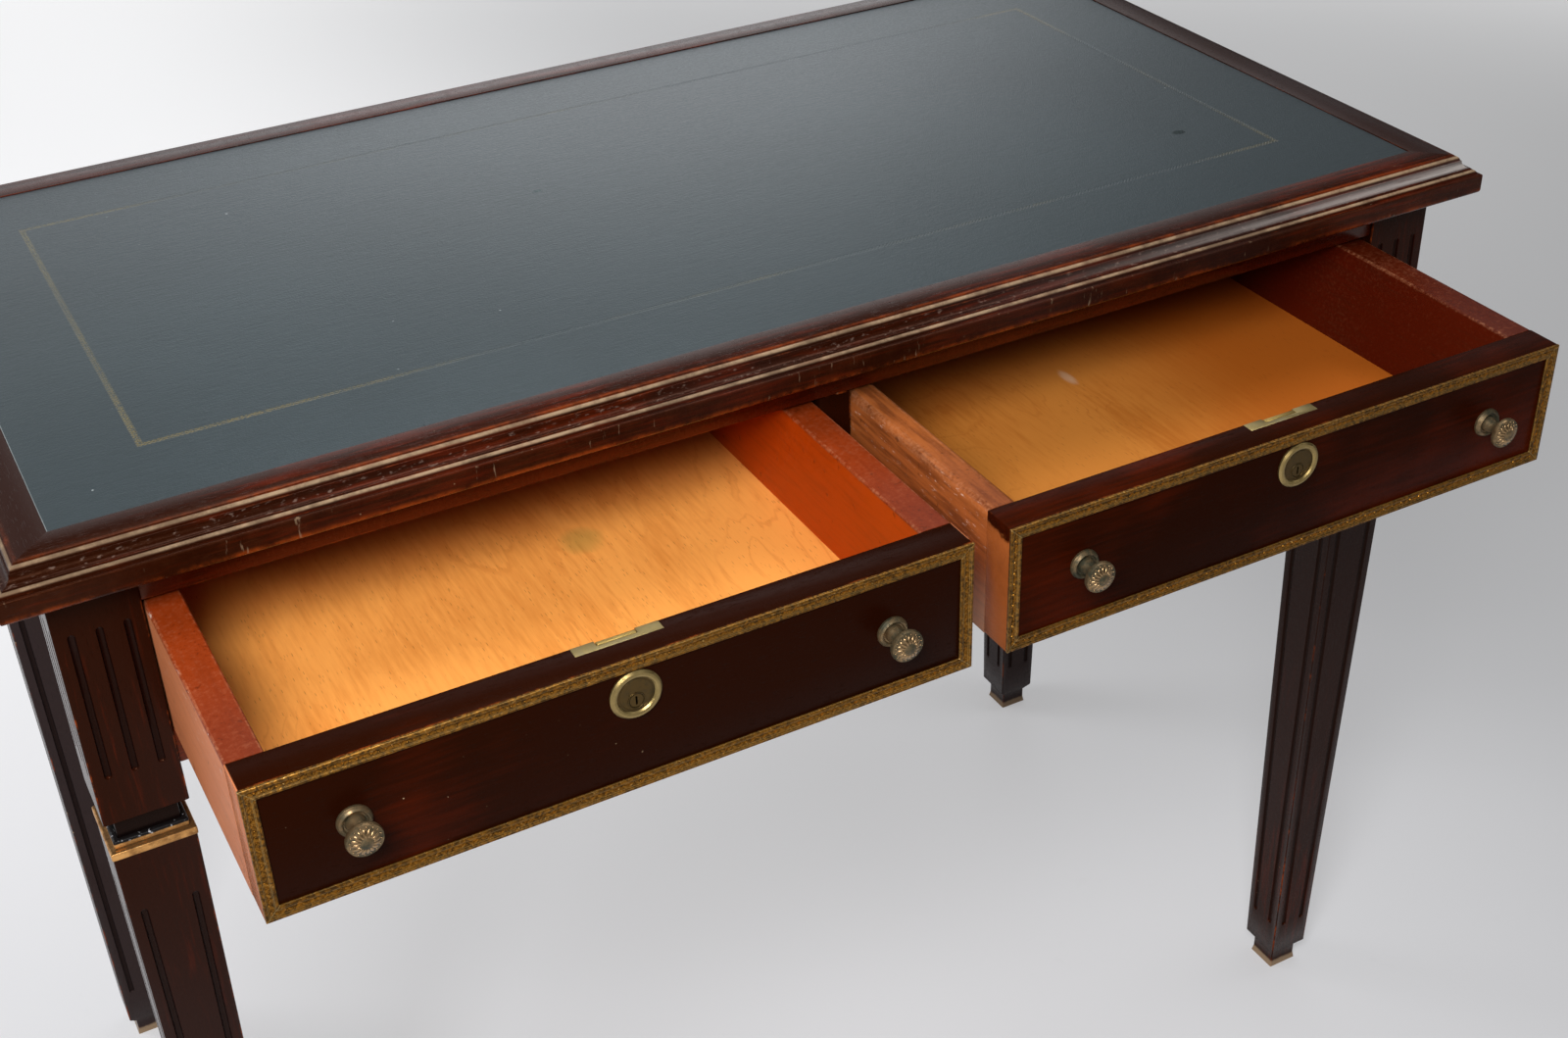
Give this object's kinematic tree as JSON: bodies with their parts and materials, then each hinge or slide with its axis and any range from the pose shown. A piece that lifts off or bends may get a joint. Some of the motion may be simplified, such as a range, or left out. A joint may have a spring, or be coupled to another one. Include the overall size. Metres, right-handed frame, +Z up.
{
  "type": "partners desk",
  "caption": "Writing desk on tapered fluted legs: moulded top with inset leather, sliding frieze drawers with brass frames, knobs and working locks, and false fronts at the back.",
  "frame": {"origin": "on the floor, under the middle of the box around the desk with both drawers at rest, half pulled out; the desk's own plan centre is 84 mm behind it", "axes": "+X along the desk's length, to the right for someone facing the drawers; +Y towards the back; +Z up. The drawers open towards -Y"},
  "size_m": [0.985, 0.6862, 0.76],
  "materials": {
    "dark_mahogany": "worn french polish",
    "desk_leather": "smooth aged leather with gold tooling",
    "drawer_timber": "worn stained wood",
    "drawer_bottom_timber": "waxed bare wood",
    "carcass_timber": "bare wood",
    "frame_brass": "antique embossed",
    "gilt_brass": "worn gilt",
    "knob_metal": "tarnished cast",
    "lock_brass": "tarnished",
    "screw_steel": "plain"
  },
  "bodies": {
    "desk": {"back_lower_rail": "dark_mahogany", "back_stile": "dark_mahogany", "back_top_rail": "dark_mahogany", "drawer_kickers": "carcass_timber", "drawer_runner_centre": "carcass_timber", "drawer_runner_left": "carcass_timber", "drawer_runner_right": "carcass_timber", "drawer_stops": "carcass_timber", "false_front_knobs": "knob_metal", "false_front_left": "dark_mahogany", "false_front_right": "dark_mahogany", "false_front_roses": "knob_metal", "false_front_trim": "frame_brass", "front_lower_rail": "dark_mahogany", "front_stile": "dark_mahogany", "front_top_rail": "dark_mahogany", "leg_back_left": "dark_mahogany", "leg_back_right": "dark_mahogany", "leg_collar_back_left": "gilt_brass", "leg_collar_back_right": "gilt_brass", "leg_collar_front_left": "gilt_brass", "leg_collar_front_right": "gilt_brass", "leg_front_left": "dark_mahogany", "leg_front_right": "dark_mahogany", "side_apron_left": "dark_mahogany", "side_apron_right": "dark_mahogany", "top_border_back": "dark_mahogany", "top_border_front": "dark_mahogany", "top_border_left": "dark_mahogany", "top_border_right": "dark_mahogany", "top_core": "carcass_timber", "top_screws": "screw_steel", "writing_leather": "desk_leather"},
    "left_drawer": {"left_drawer_back": "drawer_timber", "left_drawer_bottom": "drawer_bottom_timber", "left_drawer_front": "dark_mahogany", "left_drawer_knob_roses": "knob_metal", "left_drawer_knobs": "knob_metal", "left_drawer_left_side": "drawer_timber", "left_drawer_lock_case": "lock_brass", "left_drawer_lock_cylinder": "lock_brass", "left_drawer_lock_ring": "lock_brass", "left_drawer_right_side": "drawer_timber", "left_drawer_trim": "frame_brass"},
    "right_drawer": {"right_drawer_back": "drawer_timber", "right_drawer_bottom": "drawer_bottom_timber", "right_drawer_front": "dark_mahogany", "right_drawer_knob_roses": "knob_metal", "right_drawer_knobs": "knob_metal", "right_drawer_left_side": "drawer_timber", "right_drawer_lock_case": "lock_brass", "right_drawer_lock_cylinder": "lock_brass", "right_drawer_lock_ring": "lock_brass", "right_drawer_right_side": "drawer_timber", "right_drawer_trim": "frame_brass"},
    "left_key_plug": {"left_drawer_key_plug": "lock_brass"},
    "left_lock_bolt": {"left_drawer_lock_bolt": "lock_brass"},
    "right_key_plug": {"right_drawer_key_plug": "lock_brass"},
    "right_lock_bolt": {"right_drawer_lock_bolt": "lock_brass"}
  },
  "joints": [
    {"name": "left_drawer_slide", "type": "slide", "parent": "desk", "child": "left_drawer", "axis": [0, -1, 0], "range_m": [-0.174, 0.08]},
    {"name": "left_key_turn", "type": "hinge", "parent": "left_drawer", "child": "left_key_plug", "pos_m": [-0.2159, -0.31455, 0.6788], "axis": [0, -1, 0], "range_deg": [0, 180]},
    {"name": "left_bolt_lift", "type": "slide", "parent": "left_drawer", "child": "left_lock_bolt", "axis": [0, 0, 1], "range_m": [0, 0.01]},
    {"name": "right_drawer_slide", "type": "slide", "parent": "desk", "child": "right_drawer", "axis": [0, -1, 0], "range_m": [-0.174, 0.08]},
    {"name": "right_key_turn", "type": "hinge", "parent": "right_drawer", "child": "right_key_plug", "pos_m": [0.2159, -0.31455, 0.6788], "axis": [0, -1, 0], "range_deg": [0, 180]},
    {"name": "right_bolt_lift", "type": "slide", "parent": "right_drawer", "child": "right_lock_bolt", "axis": [0, 0, 1], "range_m": [0, 0.01]}
  ],
  "couplings": [
    {"joint": "left_key_turn", "follows": "left_bolt_lift", "rad_per_m": 314.15},
    {"joint": "right_key_turn", "follows": "right_bolt_lift", "rad_per_m": 314.15}
  ]
}
